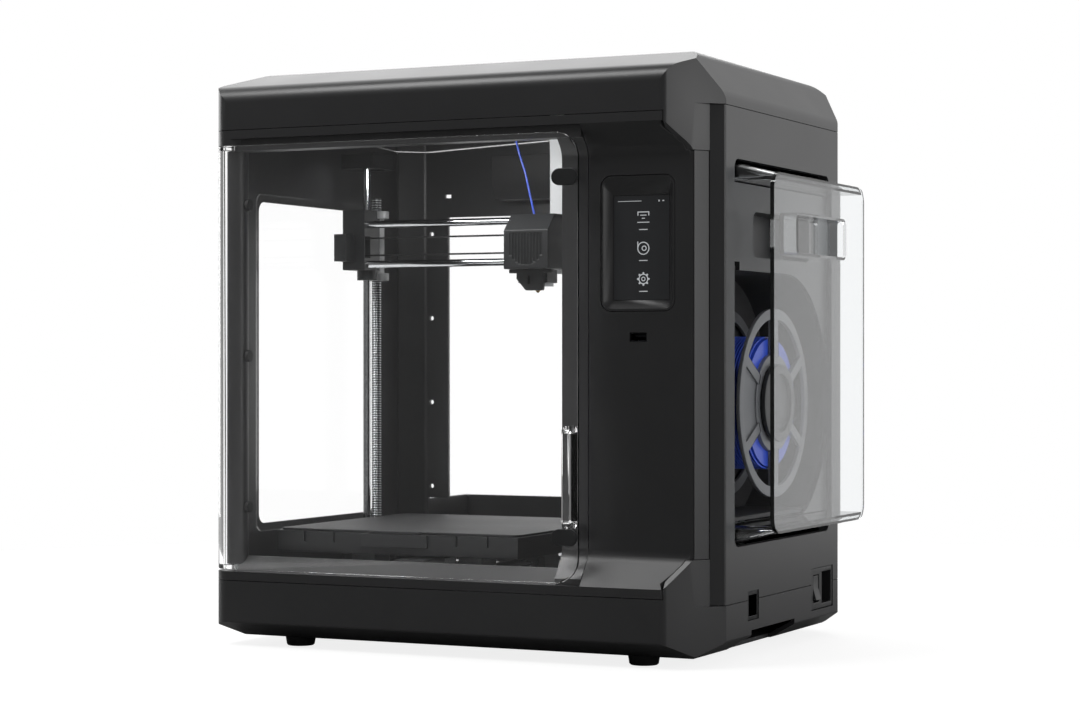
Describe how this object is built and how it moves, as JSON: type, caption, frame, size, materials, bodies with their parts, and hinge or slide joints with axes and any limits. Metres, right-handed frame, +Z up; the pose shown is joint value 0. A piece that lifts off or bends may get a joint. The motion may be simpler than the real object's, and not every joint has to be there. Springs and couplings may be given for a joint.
{
  "type": "enclosed desktop filament printer",
  "caption": "Enclosed desktop filament printer with a clear wrap-round door, a side spool bay with a pull-out cover, a sliding bed and a lifting gantry with its print head.",
  "frame": {"origin": "centre of the bounding box in plan, at the bottom of the feet", "axes": "+Z up, the door and the screen face -Y, the spool bay faces +X"},
  "size_m": [0.433, 0.394, 0.432],
  "materials": {
    "shell": "fine grained",
    "dark": "matt",
    "clear": "polished clear",
    "rubber": "matt",
    "screen": "polished",
    "steel": "satin",
    "chrome": "polished",
    "alloy": "satin",
    "brass": "satin",
    "board": "satin",
    "belt": "matt",
    "filament": "satin",
    "cable": "satin",
    "plate": "fine grained"
  },
  "bodies": {
    "chassis": {"base_tray": "shell", "top_cover": "shell", "front_frame": "shell", "control_panel": "shell", "right_side_panel": "shell", "spool_bay": "dark", "left_side_panel": "shell", "left_window": "clear", "rear_panel": "shell", "rear_window": "clear", "chamber_wall": "dark", "feet": "rubber", "screen_bezel": "dark", "touch_screen": "screen", "data_ports": "steel", "power_inlet": "dark", "power_supply": "steel", "mainboard": "board", "filter_box": "shell", "filament_sensor": "dark", "z_rods": "chrome", "z_motor": "dark", "rod_clamps": "dark", "y_rods": "chrome", "y_motor": "dark", "y_belt": "belt", "spool_holder": "dark", "panel_screws": "dark", "hinge_pins": "steel", "filament_upper": "filament", "ribbon_upper": "cable"},
    "door": {"door_panel": "clear", "door_handle": "clear", "door_catches": "dark"},
    "cover": {"spool_cover": "clear"},
    "spool": {"spool": "dark", "filament_winding": "filament"},
    "gantry": {"x_end_left": "dark", "x_end_right": "dark", "z_bearings": "steel", "x_rods": "chrome", "x_belt": "belt", "x_motor": "dark", "filament_lower": "filament", "ribbon_lower": "cable"},
    "head": {"head_carriage": "dark", "head_cover": "shell", "hot_end": "alloy", "nozzle": "brass", "fan_duct": "shell", "feed_motor": "dark"},
    "bed": {"bed_carriage": "dark", "heated_bed": "alloy", "build_plate": "plate", "bed_bearings": "alloy"},
    "screw": {"lead_screw": "steel"},
    "y_drive": {"y_pulley": "alloy"},
    "x_drive": {"x_pulley": "alloy"},
    "fan": {"cooling_fan": "dark"},
    "rocker": {"rocker_switch": "dark"}
  },
  "joints": [
    {"name": "door_swing", "type": "hinge", "parent": "chassis", "child": "door", "pos_m": [-0.2015, -0.168, 0.216], "axis": [0, 0, 1], "range_deg": [-90, 0]},
    {"name": "cover_pull", "type": "slide", "parent": "chassis", "child": "cover", "axis": [1, 0, 0], "range_m": [-0.029, 0.12]},
    {"name": "spool_spin", "type": "hinge", "parent": "chassis", "child": "spool", "pos_m": [0.156, -0.023, 0.18305], "axis": [1, 0, 0], "continuous": true},
    {"name": "bed_slide", "type": "slide", "parent": "chassis", "child": "bed", "axis": [0, 1, 0], "range_m": [-0.03, 0.13]},
    {"name": "gantry_lift", "type": "slide", "parent": "chassis", "child": "gantry", "axis": [0, 0, 1], "range_m": [-0.178, 0.005], "deforming": ["filament_upper", "ribbon_upper"]},
    {"name": "head_slide", "type": "slide", "parent": "gantry", "child": "head", "axis": [1, 0, 0], "range_m": [-0.136, 0.02], "deforming": ["filament_lower", "ribbon_lower"]},
    {"name": "screw_turn", "type": "hinge", "parent": "chassis", "child": "screw", "pos_m": [-0.1945, 0.033, 0.2], "axis": [0, 0, 1], "continuous": true},
    {"name": "x_pulley_turn", "type": "hinge", "parent": "gantry", "child": "x_drive", "pos_m": [0.0405, 0.005, 0.30725], "axis": [0, 1, 0], "continuous": true},
    {"name": "y_pulley_turn", "type": "hinge", "parent": "chassis", "child": "y_drive", "pos_m": [-0.0805, -0.141, 0.0553], "axis": [1, 0, 0], "continuous": true},
    {"name": "fan_spin", "type": "hinge", "parent": "head", "child": "fan", "pos_m": [-0.0215, -0.035, 0.3025], "axis": [0, 1, 0], "continuous": true},
    {"name": "rocker_tilt", "type": "hinge", "parent": "chassis", "child": "rocker", "pos_m": [0.1825, 0.039, 0.04], "axis": [0, 1, 0], "range_deg": [0, 16]}
  ],
  "couplings": [
    {"joint": "screw_turn", "follows": "gantry_lift", "rad_per_m": -785.4},
    {"joint": "x_pulley_turn", "follows": "head_slide", "rad_per_m": 157.09},
    {"joint": "y_pulley_turn", "follows": "bed_slide", "rad_per_m": -157.09}
  ]
}
